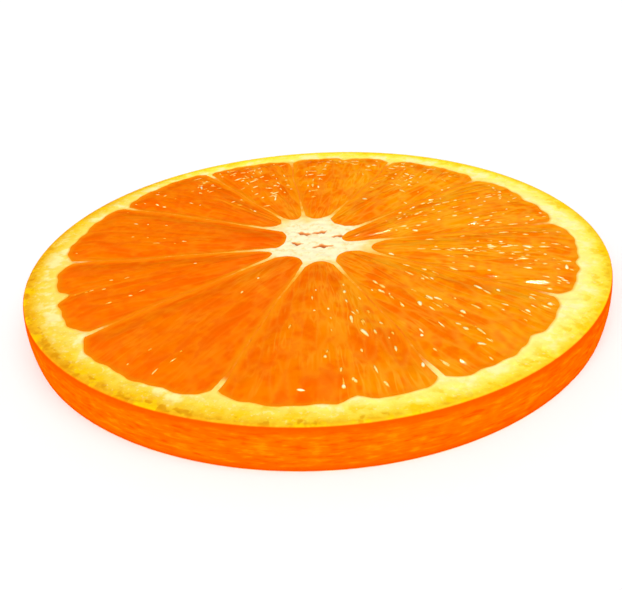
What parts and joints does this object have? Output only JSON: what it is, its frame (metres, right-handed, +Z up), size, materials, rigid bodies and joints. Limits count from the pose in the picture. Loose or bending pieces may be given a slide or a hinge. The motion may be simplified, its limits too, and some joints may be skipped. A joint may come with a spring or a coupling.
{
  "type": "orange slice",
  "caption": "Round slice of fresh orange, cut across the fruit: a band of skin, a pale pith ring, juicy wedge segments between thin membranes, and a small white core.",
  "frame": {"origin": "centre of the underside, on the surface that the slice lies on", "axes": "+Z up through the slice's thickness, out of the upper cut face; -Y towards the viewer of the picture and +X to the right"},
  "size_m": [0.0765, 0.0762, 0.006],
  "materials": {
    "juicy_flesh": "wet",
    "orange_skin": "satin",
    "pale_pith": "matte",
    "juice": "wet"
  },
  "bodies": {
    "root": {"orange_slice": "juicy_flesh"}
  },
  "joints": []
}
